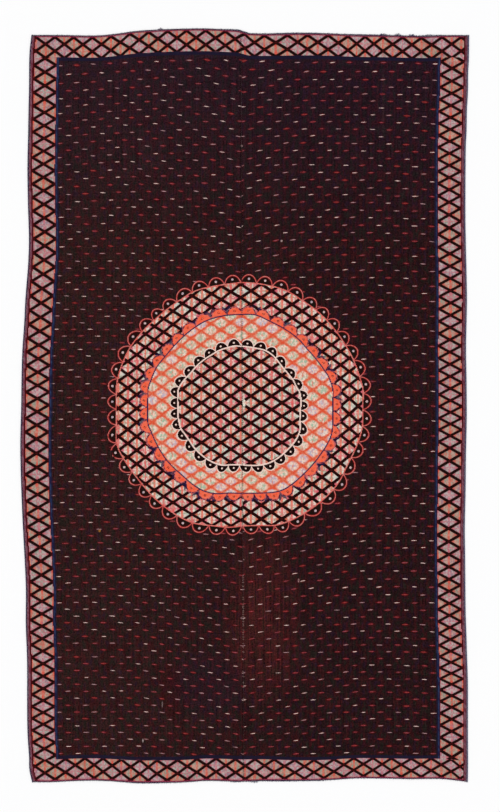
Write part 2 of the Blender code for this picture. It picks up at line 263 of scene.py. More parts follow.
DISC_WANDER = (
    (0, 0.955), (13, 0.955), (23, 0.972), (29, 0.97), (36, 0.952), (43, 0.928), (50, 0.917),
    (58, 0.928), (65, 0.945), (72, 0.953), (77, 0.978), (83, 0.984), (90, 0.978), (97, 0.975),
    (104, 0.993), (108, 1.018), (113, 1.046), (120, 1.06), (135, 1.054), (153, 1.05),
    (160, 1.033), (167, 1.009), (173, 0.989), (180, 0.972), (189, 0.984), (196, 1.018),
    (203, 1.033), (211, 1.035), (228, 1.026), (236, 1.015), (243, 1.025), (248, 1.045),
    (257, 1.038), (270, 1.025), (277, 1.033), (284, 1.045), (291, 1.02), (297, 0.99),
    (303, 0.966), (311, 0.958), (328, 0.944), (338, 0.954), (347, 0.958), (354, 0.966),
    (360, 0.955),
)
# Scallops of the outer, the orange and the black round, counted from the top down each side:
# the angle from the top, and the number of scallops up to there
LEFT_SCALLOPS = (
    ((0, 0), (19.2, 2.5), (35.7, 4.5), (49.5, 6.5), (66, 8.5), (81.6, 10.5), (95.4, 12.5),
     (110.9, 14.5), (125.1, 16.5), (138.8, 18.5), (153.9, 20.5), (169, 22.5), (182, 24.2)),
    ((0, 0.1), (13.5, 1.5), (34.4, 3.5), (52.9, 5.5), (70.6, 7.5), (87.3, 9.5), (103, 11.5),
     (121.7, 13.5), (139.9, 15.5), (158.4, 17.5), (175.7, 19.5), (182, 20.2)),
    ((0, 0), (18.9, 1.5), (43.5, 3.5), (68.4, 5.5), (88.2, 7.5), (106.9, 9.5), (129, 11.5),
     (153, 13.5), (173.7, 15.5), (182, 16.3)),
)
RIGHT_SCALLOPS = (
    ((0, 0), (18.7, 2.5), (34.5, 4.5), (49.1, 6.5), (64.4, 8.5), (80.6, 10.5), (96.1, 12.5),
     (111.4, 14.5), (128.1, 16.5), (144.7, 18.5), (153.9, 19.5), (167.9, 21.5), (182, 23.4)),
    ((0, 0), (14.1, 1.5), (34, 3.5), (53.3, 5.5), (72.5, 7.5), (89.6, 9.5), (106.2, 11.5),
     (122.6, 13.5), (142.5, 15.5), (160, 17.5), (175.5, 19.5), (182, 20.3)),
    ((0, 0), (18.7, 1.5), (43, 3.5), (57.3, 4.5), (81.3, 6.5), (99.9, 8.5), (122.4, 10.5),
     (143.7, 12.5), (164.7, 14.5), (182, 16.1)),
)
# Columns of diamonds by their place from the figure's middle, and rows by their height
OUTER_COLUMNS = (
    (-0.42, -15), (-0.3354, -12), (-0.2563, -9), (-0.1732, -6), (-0.0867, -3),
    (0, 0), (0.0915, 3), (0.1821, 6), (0.2694, 9), (0.3484, 12), (0.43, 15.3),
)
MIDDLE_COLUMNS = (
    (-0.322, -11), (-0.234, -8), (-0.118, -4), (0.001, 0), (0.1247, 4),
    (0.243, 8), (0.332, 11),
)
DISC_COLUMNS = ((-0.204, -7.0), (-0.1455, -5.0), (0.0, 0.0), (0.153, 5.0), (0.214, 7.0))
OUTER_ROWS_LEFT = (
    (-0.405, 18.5), (-0.3359, 16.5), (-0.3018, 15.5), (-0.2281, 13.5), (-0.1491, 11.5),
    (-0.0671, 9.5), (0.016, 7.5), (0.0965, 5.5), (0.174, 3.5), (0.3116, 0), (0.391, -2),
)
OUTER_ROWS_RIGHT = (
    (-0.4155, 18.5), (-0.3329, 16.5), (-0.2917, 15.5), (-0.2085, 13.5), (-0.1253, 11.5),
    (-0.0437, 9.5), (0.0244, 8), (0.1844, 4), (0.3445, 0), (0.4246, -2),
)
MIDDLE_ROWS_LEFT = (
    (-0.316, 14), (-0.2376, 12), (-0.2037, 11), (-0.1268, 9), (-0.0451, 7),
    (-0.0006, 6), (0.0398, 5), (0.1188, 3), (0.2391, 0), (0.319, -2),
)
MIDDLE_ROWS_RIGHT = (
    (-0.318, 14), (-0.2373, 12), (-0.1544, 10), (-0.0743, 8), (0.0101, 6),
    (0.253, 0), (0.334, -2),
)
DISC_ROWS = ((-0.242, 10.0), (-0.1642, 8.0), (-0.0080, 4.0), (0.1547, 0.0), (0.233, -2.0))
RING_ROW = 0.0401
# Black, orange and outer scallops: how many to a half turn, where they start, how far they
# stand out; and the radii where the orange and the outer ones take over
SCALLOPS = ((16.0, 0.1830, 0.0210), (20.0, 0.2760, 0.0225), (23.5, 0.3660, 0.0245))
SCALLOP_ZONES = (0.230, 0.330)
# Radii where the middle and the outer ring's diamonds start, and of the rings' edging lines
RING_STARTS = (0.1820, 0.2750)
DISC_EDGE = (0.1805, 0.1845)
MIDDLE_EDGE = (0.2730, 0.2765)
OUTER_EDGE = (0.3636, 0.3668)
ROUND_REACH = 0.4000
# Radii between which one ring's wander passes into the next one's
DISC_TO_MIDDLE = (0.205, 0.250)
MIDDLE_TO_OUTER = (0.295, 0.345)
MATERIAL_MARGIN = 0.012
# Free room at the border of the baked picture, and between its two strips
BAKE_EDGE = 0.003
BAKE_GAP = 0.012

# Edging: half widths, half heights and the height of the middle over the floor
UP = Vector((0.0, 0.0, 1.0))
END_CLEARANCE = 0.001
CORE_STEP = 0.012
CORE_WIDTH = 0.0015
CORE_HEIGHT = 0.0008
CORE_RISE = 0.00135
WRAP_PITCH = 0.0032
WRAP_WIDTH = 0.00135
WRAP_HEIGHT = 0.0005
WRAP_RISE = 0.0014
YARN_RADIUS = 0.00085
PLY_RADIUS = 0.00072
PLY_APART = 0.00062
PLY_RISE = 0.0014
PLY_TURN = 0.0070
STITCH_PITCH = 0.0065
STITCH_RADIUS = 0.00042
STITCH_RISE = 0.0006

# The camera straight above, and how much of the floor its picture is tall
CAMERA_HEIGHT = 7.0
VIEW_HEIGHT = 812 * 0.00297

def read_table(table, place):
    """Reads a table of places and heights as one smooth curve, level past its ends."""
    if place <= table[0][0]:
        return table[0][1]
    if place >= table[-1][0]:
        return table[-1][1]
    row = next(i for i in range(len(table) - 1) if place <= table[i + 1][0])
    (start, low), (end, high) = table[row], table[row + 1]
    before = table[max(row - 1, 0)]
    after = table[min(row + 2, len(table) - 1)]
    slope_in = (high - before[1]) / (end - before[0])
    slope_out = (after[1] - low) / (after[0] - start)
    span = end - start
    t = (place - start) / span
    return (
        low * (2 * t**3 - 3 * t**2 + 1)
        + slope_in * span * (t**3 - 2 * t**2 + t)
        + high * (3 * t**2 - 2 * t**3)
        + slope_out * span * (t**3 - t**2)
    )


def pull(depth):
    """Share of an edge's wander that is left at a depth inside the cloth."""
    near = max(0.0, 1.0 - max(depth, 0.0) / EDGE_REACH)
    return near * near * (3.0 - 2.0 * near)


def pulled(x, y):
    """Where a place on the loom has gone as the cloth wore and stretched."""
    half_width = CLOTH_WIDTH / 2
    half_length = CLOTH_LENGTH / 2
    across = read_table(RIGHT_EDGE, y) * pull(half_width - x)
    across -= read_table(LEFT_EDGE, y) * pull(half_width + x)
    along = read_table(TOP_EDGE, x) * pull(half_length - y)
    along -= read_table(FOOT_EDGE, x) * pull(half_length + y)
    return x + across, y + along


def lay(x, y):
    """The same place in the model's frame."""
    at_x, at_y = pulled(x, y)
    return at_x - BOX_MIDDLE_X, at_y - BOX_MIDDLE_Y


def rise(x, y):
    """Height of the soft ridges at a place on the loom."""
    height = 0.0
    for mid_x, mid_y, half_length, half_width, top in PUCKERS:
        across = abs(x - mid_x) / half_width
        along = abs(y - mid_y) / half_length
        if across < 1.0 and along < 1.0:
            height += top * math.cos(across * math.pi / 2) ** 2 * (1.0 - along**2) ** 2
    return height


def seam_x(y):
    """X of the join at a place along the cloth."""
    share = 0.5 + y / CLOTH_LENGTH
    return SEAM_FOOT_X + (SEAM_TOP_X - SEAM_FOOT_X) * share


# Working with nodes. A colour is given by how it looks on a screen, from 0 to 255

def dyed(*screen):
    """A dye's colour as the shader wants it."""
    shares = [value / 255.0 for value in screen]
    return (*[s / 12.92 if s <= 0.04045 else ((s + 0.055) / 1.055) ** 2.4 for s in shares], 1.0)


def feed(tree, socket, value):
    """Links a reading to a socket, or sets a plain value or a colour on it."""
    if isinstance(value, Reading):
        tree.links.new(value.socket, socket)
    else:
        socket.default_value = dyed(*value) if isinstance(value, tuple) else value


def noded(tree, kind, inputs, output=0, **settings):
    """Adds a node, feeds its inputs and gives one of its outputs."""
    node = tree.nodes.new("ShaderNode" + kind)
    for name, setting in settings.items():
        setattr(node, name, setting)
    for socket, value in inputs.items():
        feed(tree, node.inputs[socket], value)
    return Reading(tree, node.outputs[output])


class Reading:
    """A value that nodes work out at each spot of the cloth."""

    def __init__(self, tree, socket):
        self.tree = tree
        self.socket = socket

    def worked(self, operation, *others):
        return noded(self.tree, "Math", dict(enumerate((self, *others))), operation=operation)

    __add__ = partialmethod(worked, "ADD")
    __sub__ = partialmethod(worked, "SUBTRACT")
    __mul__ = partialmethod(worked, "MULTIPLY")
    __truediv__ = partialmethod(worked, "DIVIDE")
    over = partialmethod(worked, "GREATER_THAN")
    under = partialmethod(worked, "LESS_THAN")
    size = partialmethod(worked, "ABSOLUTE")
    whole = partialmethod(worked, "FLOOR")
    nearest = partialmethod(worked, "ROUND")
    part = partialmethod(worked, "FRACT")
    greater = partialmethod(worked, "MAXIMUM")
    lesser = partialmethod(worked, "MINIMUM")
    root = partialmethod(worked, "SQRT")

    def within(self, top=1.0):
        """Kept from 0 to a top value."""
        return self.greater(0.0).lesser(top)

    def flipped(self):
        """One less this: the other side of a mask."""
        return self * -1.0 + 1.0

    def split(self):
        """The three numbers of a vector."""
        node = self.tree.nodes.new("ShaderNodeSeparateXYZ")
        feed(self.tree, node.inputs[0], self)
        return [Reading(self.tree, out) for out in node.outputs]


def joined(tree, x, y, z=0.0):
    """A vector made from three numbers."""
    return noded(tree, "CombineXYZ", {0: x, 1: y, 2: z})


def blended(share, under, over):
    """The under colour, with the over colour showing by its share."""
    return noded(share.tree, "Mix", {0: share, 6: under, 7: over}, 2, data_type="RGBA")


def layered(colour, *layers):
    """Colours laid over one another, each with the share of it that shows."""
    for share, over in layers:
        colour = blended(share, colour, over)
    return colour


def chosen(share, under, over):
    """One number or the other by a mask, or some of each."""
    return noded(share.tree, "Mix", {0: share, 2: under, 3: over}, data_type="FLOAT")


def chance(vector):
    """A random number for each vector."""
    return noded(vector.tree, "TexWhiteNoise", {"Vector": vector}, "Value", noise_dimensions="3D")


def toned(light, colour):
    """A colour made lighter or darker."""
    return noded(colour.tree, "HueSaturation", {"Value": light, "Color": colour})


def cloudy(vector, detail=2.0):
    """A soft cloudy value, one cloud to each unit of the vector."""
    inputs = {"Vector": vector, "Scale": 1.0, "Detail": detail}
    return noded(vector.tree, "TexNoise", inputs, "Fac")


def clouds(x, y, across, along, layer=0.0, detail=2.0):
    """A soft cloudy value, with so many clouds to a metre each way."""
    return cloudy(joined(x.tree, x * across, y * along, layer), detail)


def distance(x, y):
    """How long a step of x across and y along is."""
    return (x * x + y * y).root()


def from_oval(x, y, mid_x, mid_y, half_width, half_length):
    """0 at the middle of an oval, 1 on its edge and more outside."""
    off_x, off_y = (x - mid_x) / half_width, (y - mid_y) / half_length
    return off_x * off_x + off_y * off_y


def oval(*given):
    """1 at the middle of an oval, and 0 from its edge on."""
    return from_oval(*given).lesser(1.0).flipped()


def own(tree, name):
    """The three numbers that a piece's mesh holds under a name."""
    return noded(tree, "Attribute", {}, "Vector", attribute_name=name).split()


def spot(tree):
    """The place on the object."""
    return noded(tree, "TexCoord", {}, "Object")


SOCKETS = {"Place": "NodeSocketVector", "Colour": "NodeSocketColor"}


def make_group(name, takes, gives, work):
    """A node group with named inputs and outputs; work() builds what is inside."""
    tree = bpy.data.node_groups.new(name, "ShaderNodeTree")
    for labels, way in ((takes, "INPUT"), (gives, "OUTPUT")):
        for label in labels.split():
            kind = SOCKETS.get(label, "NodeSocketFloat")
            tree.interface.new_socket(label, in_out=way, socket_type=kind)
    start = tree.nodes.new("NodeGroupInput")
    end = tree.nodes.new("NodeGroupOutput")
    results = work(tree, *[Reading(tree, start.outputs[label]) for label in takes.split()])
    for socket, result in zip(end.inputs, results):
        feed(tree, socket, result)
    return tree


def use(tree, group, *values):
    """Places a node group and gives its outputs."""
    node = tree.nodes.new("ShaderNodeGroup")
    node.node_tree = group
    for socket, value in zip(node.inputs, values):
        feed(tree, socket, value)
    return [Reading(tree, out) for out in node.outputs]


# What several materials share

def work_steps(tree, place):
    """Tapestry colours change only at whole warps and wefts, so shapes get stepped edges."""
    x, y, _ = place.split()
    warp = (x / WARP_STEP).whole()
    weft_at = y / WEFT_STEP + (warp * 0.5).part()
    weft = weft_at.whole()
    shift_x = (warp + 0.5) * WARP_STEP - x
    shift_y = (weft + 0.5 - weft_at) * WEFT_STEP
    return shift_x, shift_y, chance(joined(tree, warp, weft))


def work_lattice(tree, across, along, line):
    """Slanting lines that leave diamonds between them."""
    rising, falling = across + along, across - along
    row_a, row_b = rising.nearest(), falling.nearest()
    off_a, off_b = rising - row_a, falling - row_b
    mask = off_a.size().greater(off_b.size()).over(line * -1.0 + 0.5)
    crossing = off_a.size().lesser(off_b.size()).over(0.41)
    middle = ((off_a + off_b) * 0.5).size()
    up = ((off_a - off_b) * 0.5).size()
    slant = (row_b * 0.5).part() * 2.0
    return mask, crossing, middle, up, chance(joined(tree, row_a, row_b)), slant


def work_cell(tree, place, middle, up, luck, slant, thread, ring):
    """A diamond's colours: a stripe down its middle, spotted flanks and red tips.

    Slant tells a border's two kinds of diamond apart, and ring is 1 in the round figure.
    """
    x, y, _ = place.split()
    second, third = (luck * 7.0).part(), (luck * 31.0).part()
    green_spots = (clouds(x, y, 240, 130, 3.5, 1) * 8.0 - 3.9).within(0.9)
    pink_spots = (clouds(x, y, 230, 130, 17.5, 1) * 8.0 - 5.0 + second * 1.4).within(0.9)
    pale = blended(ring, blended(slant, (182, 166, 164), (184, 154, 140)), (226, 206, 194))
    green = blended(second.over(0.4), (150, 122, 136), (136, 150, 134))
    green = blended(ring, green, (142, 162, 136))
    pink = blended(ring, blended(slant, (180, 124, 130), (190, 120, 104)), (212, 112, 112))
    ring_tip = blended(third.over(0.5), (204, 88, 104), (204, 92, 68))
    ring_tip = blended(third.over(0.88), ring_tip, (190, 196, 186))
    tip = blended(ring, blended(slant, (194, 102, 112), (202, 92, 80)), ring_tip)
    ring_red = blended(second.over(0.6), (222, 88, 64), (216, 86, 84))
    red = blended(ring, blended(slant, (202, 92, 108), (216, 74, 58)), ring_red)
    ends = (up * 4.5).lesser(1.0)
    strength = chosen(slant, ends * 0.55 + 0.15, ends * 0.45 + 0.40)
    strength = strength.greater(ring * 0.80).lesser(green_spots * -0.6 + 1.0)
    row = up.under(0.042) * middle.over(0.06) * (slant * -0.35 + 0.55).greater(ring * 0.4)
    colour = layered(
        blended(pink_spots, blended(green_spots, pale, green), pink),
        ((middle * 14.0 - 3.1 + ring * 0.5).within(0.85), tip),
        (row, tip),
        (middle.under(0.056) * strength, red),
        (((middle + up) * 18.0 - 6.1).within(0.6), (122, 32, 38)),
    )
    return (toned(thread * 0.16 + 0.92, colour),)


def work_dashes(tree, column, row, shift_x, shift_y, place):
    """Small lens-shaped dashes in rows, leaning up to the seam, each with a darker edge."""
    at_column = column + shift_x / DASH_PITCH
    at_row = row - shift_y / DASH_ROW
    line = at_row.nearest()
    from_half = at_column - (line * 0.5).part()
    dash = from_half.nearest()
    luck = chance(joined(tree, dash, line, 3.0))
    second, third = (luck * 13.0).part(), (luck * 57.0).part()
    off_x = (from_half - dash + (second - 0.5) * 0.06) * (DASH_PITCH / DASH_HALF_LENGTH)
    from_seam = place.split()[0] - SEAM_MIDDLE_X
    side = from_seam.over(0.0) * 2.0 - 1.0
    lean = side * (from_seam.size() * -2.4 + 1.25) + (third - 0.5) * 1.2
    off_y = (at_row - line + (luck - 0.5) * 0.07) * (DASH_ROW / DASH_HALF_HEIGHT) + off_x * lean
    turn = ((dash + (line * 0.5).whole()) * 0.5).part() * 2.0
    turn = chosen(luck.over(0.90), turn, turn.flipped())
    core = (off_x * off_x + off_y.size() * (turn * 0.4 + 1.15)).under(second * 0.25 + 0.85)
    edge = chosen(turn, third * 0.5, second * 0.35 + 0.4)
    glow = (off_x.size() * 0.74 + off_y.size() * 0.25).under(1.0) * edge
    pale = blended(second.over(0.55), (224, 194, 188), (170, 134, 138))
    red = blended(second.over(0.70), (172, 80, 87), (164, 73, 70))
    red = blended(third.over(0.60), red, (160, 84, 98))
    edge_dye = blended(third.over(0.6), (104, 12, 18), (100, 20, 10))
    return core.greater(glow), blended(core, edge_dye, blended(turn, pale, red))


def work_field(tree, place, thread):
    """Dark brown wool, dyed unevenly: redder below the round figure, bluer near the top."""
    x, y, _ = place.split()
    from_left = (x * -1.6 + 0.4 + clouds(x, y, 7, 5, 9, 3) * 0.9 - 0.45).within()
    tint, other = clouds(x, y, 100, 36, 5), clouds(x, y, 80, 30, 31)
    streak = clouds(x, y, 240, 6, 4, 3)
    patch = oval(x, y, *RED_PATCH) * ((streak * 4.0 - 1.6).within() * 0.6 + 0.4)
    colour = layered(
        blended(from_left, (37, 18, 20), (47, 26, 25)),
        ((tint * 9.0 - 4.6).within(0.7), (29, 28, 24)),
        ((tint * -9.0 + 4.0).within(0.5), (36, 22, 38)),
        ((other * 9.0 - 4.7).within(0.55), (56, 17, 20)),
        (patch * 0.32, (98, 36, 32)),
        (((y - 0.45) * 1.4).within() * 0.4, (34, 22, 40)),
        *[((oval(x, y, *where) * 1.6).lesser(1.0) * strength, dye)
          for *where, dye, strength in MARKS],
    )
    light = streak * 1.6 + clouds(x, y, 9, 90, 2, 3) * 0.8 + clouds(x, y, 230, 280, 6) * 3.4
    return (toned((light + thread * 0.4 - 2.08).greater(0.20), colour),)


def work_wool(tree, colour, place, thread):
    """Small changes of tone from thread to thread, and fuzz that catches the light."""
    x, y, _ = place.split()
    light = thread * 0.22 + clouds(x, y, 700, 500) * 0.25 + clouds(x, y, 30, 420, 2) * 0.45
    return (toned(light + 0.54, colour),)


def work_relief(tree, place):
    """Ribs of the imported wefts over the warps."""
    x, y, _ = place.split()
    warp_at = x / WARP_STEP
    weft_at = y / WEFT_STEP + (warp_at.whole() * 0.5).part()
    rib, weft = [(at.part() - 0.5).size() * -2.0 + 1.0 for at in (warp_at, weft_at)]
    return (rib * 0.45 + weft * 0.35 + clouds(x, y, 900, 900, 0, 1) * 0.4,)


STEPS = make_group("woven steps", "Place", "Across Along Thread", work_steps)
LATTICE = make_group(
    "diamond lattice", "Across Along Line", "Line Crossing Middle Up Luck Slant", work_lattice)
CELL = make_group("diamond colours", "Place Middle Up Luck Slant Thread Ring", "Colour", work_cell)
DASHES = make_group("brocaded dashes", "Column Row Across Along Place", "Dash Colour", work_dashes)
FIELD = make_group("brown field", "Place Thread", "Colour", work_field)
WOOL = make_group("wool threads", "Colour Place Thread", "Colour", work_wool)
RELIEF = make_group("woven ribs", "Place", "Height", work_relief)


def new_material(name, roughness=0.9):
    """A material with its shader's plain values set."""
    material = bpy.data.materials.new(name)
    material.use_nodes = True
    shader = material.node_tree.nodes["Principled BSDF"]
    shader.inputs["Roughness"].default_value = roughness
    shader.inputs["Specular IOR Level"].default_value = 0.02
    return material, material.node_tree, shader


def emboss(tree, shader, height, strength, distance):
    """Gives a material the relief of a height."""
    bump = noded(tree, "Bump", {"Strength": strength, "Distance": distance, "Height": height})
    tree.links.new(bump.socket, shader.inputs["Normal"])


def cloth_material(name, roughness, paint, *given):
    """Woven wool: paint() lays its colours over the brown field and its dashes."""
    material, tree, shader = new_material(name, roughness)
    place = spot(tree)
    steps = shift_x, shift_y, thread = use(tree, STEPS, place)
    (ground,) = use(tree, FIELD, place, thread)
    column, row, _ = own(tree, "dash_rows")
    dash, dash_dye = use(tree, DASHES, column, row, shift_x, shift_y, place)
    colour = paint(tree, place, steps, ground, dash, dash_dye, *given)
    (woven,) = use(tree, WOOL, colour, place, thread)
    feed(tree, shader.inputs["Base Color"], woven)
    (height,) = use(tree, RELIEF, place)
    emboss(tree, shader, height, 0.45, 0.0006)
    return material


def paint_field(tree, place, steps, ground, dash, dash_dye):
    """The plain field."""
    return blended(dash, ground, dash_dye)


def paint_border(tree, place, steps, ground, dash, dash_dye, side):
    """The diamond border of one half, its side stripes and the field just inside it."""
    shift_x, shift_y, thread = steps
    start, end = SIDE_LATTICE[side]
    side_across, side_along, side_depth = own(tree, "side_border")
    end_across, end_along, end_depth = own(tree, "end_border")
    side_depth = side_depth - shift_x * float(side)
    band_end = chosen(place.split()[1].over(0.0), FOOT_BAND[2], TOP_BAND[2])
    in_end = end_depth.under(band_end)
    across = chosen(in_end, side_across + shift_x / (end - start),
                    end_across + shift_x / END_DIAMOND)
    along = chosen(in_end, side_along - shift_y / SIDE_DIAMOND, end_along)
    line, crossing, middle, up, luck, slant = use(tree, LATTICE, across, along, BORDER_LINE)
    if side < 0:
        slant = chosen(in_end, slant.flipped(), slant)
    (cell,) = use(tree, CELL, place, middle, up, luck, slant, thread, 0.0)
    worn = cloudy(place * 60.0) * 0.5 + 0.69
    diamonds = blended(line, toned(worn, cell), blended(crossing * 0.75, BLACK, CROSSING))

    patchy = (cloudy(place * 130.0) * 5.0 - 2.0).within()
    from_end = end_depth - band_end
    beside = from_end.over(0.0)
    return layered(
        blended(dash, ground, dash_dye),
        # Navy line all round, blue and then wine down the sides
        (side_depth.under(end + NAVY_LINE).greater(from_end.under(NAVY_LINE)) * 0.80,
         blended(cloudy(place * 24.0), (20, 16, 34), (30, 30, 54))),
        (side_depth.under(end + BLUE_LINE) * beside * 0.8,
         blended(patchy, (28, 30, 64), (42, 58, 92))),
        (side_depth.under(end + WINE_LINE) * beside * 0.9, (56, 10, 16)),
        (side_depth.under(end).greater(in_end), diamonds),
        # Stripes outside the diamonds
        (end_depth.under(END_STRIPE), (128, 34, 66)),
        (side_depth.under(start), (72, 8, 13)),
        (side_depth.under(RED_START[side]), blended(patchy, (104, 48, 62), (122, 78, 92))),
        (side_depth.under(MAUVE_START[side]), (48, 40, 66)),
    )


def paint_figure(tree, place, steps, ground, dash, dash_dye):
    """The round figure: rings of diamonds edged with scallops."""
    shift_x, shift_y, thread = steps
    x, y, _ = place.split()
    off_x = x + shift_x - (ROUND_X - BOX_MIDDLE_X)
    off_y = y + shift_y - (ROUND_Y - BOX_MIDDLE_Y)
    radius = distance(off_x, off_y) * own(tree, "dash_rows")[2]

    def by_radius(start_middle, start_outer, disc, middle, outer):
        inside = chosen(radius.over(start_middle), disc, middle)
        return chosen(radius.over(start_outer), inside, outer)

    # Scallops: which part of one a spot is in, how far up it and how far from its dot
    middle_zone, outer_zone = radius.over(SCALLOP_ZONES[0]), radius.over(SCALLOP_ZONES[1])
    count, base, height = [by_radius(*SCALLOP_ZONES, *sizes) for sizes in zip(*SCALLOPS)]
    at = by_radius(*SCALLOP_ZONES, *reversed(own(tree, "scallops")))
    off = (at.part() - 0.5) * 2.0
    above = radius.over(base)
    lift = ((radius - base) / height).greater(0.0)
    edge = (off * off + (lift * lift + lift) * 0.5).root()
    dot = distance(off * (base / count) * (math.pi / 2), radius - base - height * 0.45)

    # The three rings' diamonds
    across, along = [
        by_radius(*RING_STARTS, *reversed(own(tree, label)))
        for label in ("ring_columns", "ring_rows")
    ]
    line, crossing, middle, up, luck, _ = use(
        tree, LATTICE, across + shift_x / RING_DIAMOND, along - shift_y / RING_ROW, RING_LINE)
    (cell,) = use(tree, CELL, place, middle, up, luck, 1.0, thread, 1.0)
    dark_rings = blended(line, cell, blended(crossing * 0.7, RING_BLACK, CROSSING))
    mottle = clouds(x, y, 170, 150, 41.5)
    clear = ((mottle - 0.5) * 7.0 + 0.5).within()
    other = (clouds(x, y, 280, 120, 23.5, 1) * 8.0 - 3.9).within(0.9)
    cool = blended(luck.over(0.6), (150, 180, 152), (180, 170, 190))
    pale = layered(
        (232, 208, 191), (clear * 0.9, cool), (other * 0.55, (236, 160, 134)),
        ((middle * 10.0 - 2.2).within(0.8), (236, 142, 112)),
        (middle.under(0.045) * other * 0.7, (206, 104, 88)),
    )
    red_line = blended(other, (220, 82, 52), (214, 110, 82))
    off_cell = (middle + up) * 0.70 + distance(middle, up) * 0.40 + mottle * 0.24
    bright_ring = blended((off_cell * 7.0 - 3.05).within(), pale, red_line)
    is_bright = radius.over(RING_STARTS[0]) * radius.over(RING_STARTS[1]).flipped()
    worn = from_oval(x, y, *WORN_SPOT).under(other * 0.5 + 0.6)
    rings = layered(dark_rings, (is_bright, bright_ring),
                    (worn * (clear * 0.5 + 0.45), (244, 236, 218)))

    salmon = blended(clear, (208, 88, 80), (212, 120, 112))
    wine = (112, 16, 24)
    outer = edge.under(1.0) * outer_zone
    orange = middle_zone * outer_zone.flipped() * above
    black = middle_zone.flipped() * above
    gap = edge.over(0.95) * edge.under(1.28) * off.size().over(0.50)
    speck = (dot - 0.0024).size().under(0.0012) * (luck * 5.0 + mottle * 6.0).part().over(0.45)
    return layered(
        # The outer scallops and the outer ring's edge; no dashes show inside the scallops
        blended(dash * outer.flipped(), ground, dash_dye),
        (outer, blended(clear, (40, 12, 12), (24, 20, 14))),
        (edge.over(1.0) * edge.under(1.055) * outer_zone * 0.7, wine),
        (outer * edge.over(0.84) * 0.7, wine),
        (outer * edge.over(0.925), salmon),
        (outer * dot.under(0.0034), blended(clear, (208, 176, 172), (178, 156, 166))),
        (radius.under(OUTER_EDGE[1]), salmon),
        (radius.under(OUTER_EDGE[0]), rings),
        # Orange-red scallops between the outer and the middle ring
        (orange * gap * (luck * 5.0).part().over(0.35) * 0.85, (34, 26, 62)),
        (orange * edge.under(1.06), blended(clear, (38, 22, 54), (196, 96, 96))),
        (orange * edge.under(0.92), blended(clear * 0.7, (240, 92, 60), (230, 116, 92))),
        (orange * speck, (48, 18, 26)),
        (radius.under(MIDDLE_EDGE[1]) * radius.over(MIDDLE_EDGE[0]), (48, 34, 72)),
        # Black scallops round the disc
        (black * edge.under(1.09), CREAM),
        (black * edge.under(0.98), BLACK),
        (black * dot.under(0.0026), CREAM),
        (radius.under(DISC_EDGE[1]) * radius.over(DISC_EDGE[0]), CREAM),
    )


FIGURE = cloth_material("woven_figure", 0.9, paint_figure)
PLAIN_FIELD = cloth_material("woven_field", 0.92, paint_field)
BORDERS = {
    -1: cloth_material("woven_border_left", 0.9, paint_border, -1),
    1: cloth_material("woven_border_right", 0.9, paint_border, 1),
}


# The two woven halves

def even_steps(start, end, step):
    """Even steps from start to end, both included."""
    count = math.ceil(abs(end - start) / step)
    return [start + (end - start) * i / count for i in range(count + 1)]


def read_lines(stations, lines, x):
    """Each line's label, and what the line says at a place across that half."""
    return [(label, read_table(tuple(zip(stations, values)), x)) for label, *values in lines]


def dash_row(side, x, at_y):
    """Number of the row of dashes, counted down from the top, at a place."""
    stations, rows = (LEFT_STATIONS, LEFT_ROWS) if side < 0 else (RIGHT_STATIONS, RIGHT_ROWS)
    marks = [(height, number) for number, height in reversed(read_lines(stations, rows, x))]
    marks.insert(0, (marks[0][0] - 0.2, marks[0][1] + 9.8))
    marks.append((marks[-1][0] + 0.2, marks[-1][1] - 7.7))
    return read_table(marks, at_y)


def dash_creep(side, x, at_y):
    """How far the column of dashes at a place has crept to the right, in columns."""
    stations, lines = (
        (LEFT_CREEP_STATIONS, LEFT_CREEP) if side < 0 else (RIGHT_CREEP_STATIONS, RIGHT_CREEP))
    return read_table(read_lines(stations, lines, x), at_y)


def between(low, high, value):
    """From 0 at low to 1 at high, level outside, eased at both ends."""
    share = max(0.0, min(1.0, (value - low) / (high - low)))
    return share * share * (3.0 - 2.0 * share)


def round_scale(off_x, off_y):
    """What a distance from the figure's middle is multiplied by to make its circles true."""
    far = math.hypot(off_x, off_y)
    angle = math.degrees(math.atan2(off_x, off_y)) % 360.0
    disc, middle, outer = [
        1.0 / read_table(table, angle) for table in (DISC_WANDER, MIDDLE_WANDER, OUTER_WANDER)]
    scale = disc + (middle - disc) * between(*DISC_TO_MIDDLE, far)
    return scale + (outer - middle) * between(*MIDDLE_TO_OUTER, far)


def scallop_numbers(side, off_x, off_y):
    """Numbers of the scallops at a place in the outer, the orange and the black round."""
    angle = math.degrees(math.atan2(off_x * side, off_y))
    if angle < -90.0:
        angle += 360.0
    rounds = LEFT_SCALLOPS if side < 0 else RIGHT_SCALLOPS
    return [read_table(table, angle) for table in rounds]


def ring_places(side, off_x, at_y):
    """Columns and rows of the diamonds in the outer ring, the middle ring and the disc."""
    outer, middle, disc = [
        read_table(table, off_x) for table in (OUTER_COLUMNS, MIDDLE_COLUMNS, DISC_COLUMNS)]
    if side > 0:
        outer_row = read_table(OUTER_ROWS_RIGHT, at_y)
        middle_row = read_table(MIDDLE_ROWS_RIGHT, at_y)
    else:
        # The rows sag a little towards the seam above the middle
        drop = 0.0030 * max(0.0, 11.0 - abs(outer)) * between(0.02, 0.17, at_y)
        outer_row = read_table(OUTER_ROWS_LEFT, at_y - drop)
        drop = 0.0016 * max(0.0, 8.0 - abs(middle)) * between(0.02, 0.08, at_y)
        middle_row = read_table(MIDDLE_ROWS_LEFT, at_y - drop)
    columns = (outer / 2, middle / 2, disc / 2)
    return columns, (outer_row, middle_row, read_table(DISC_ROWS, at_y))


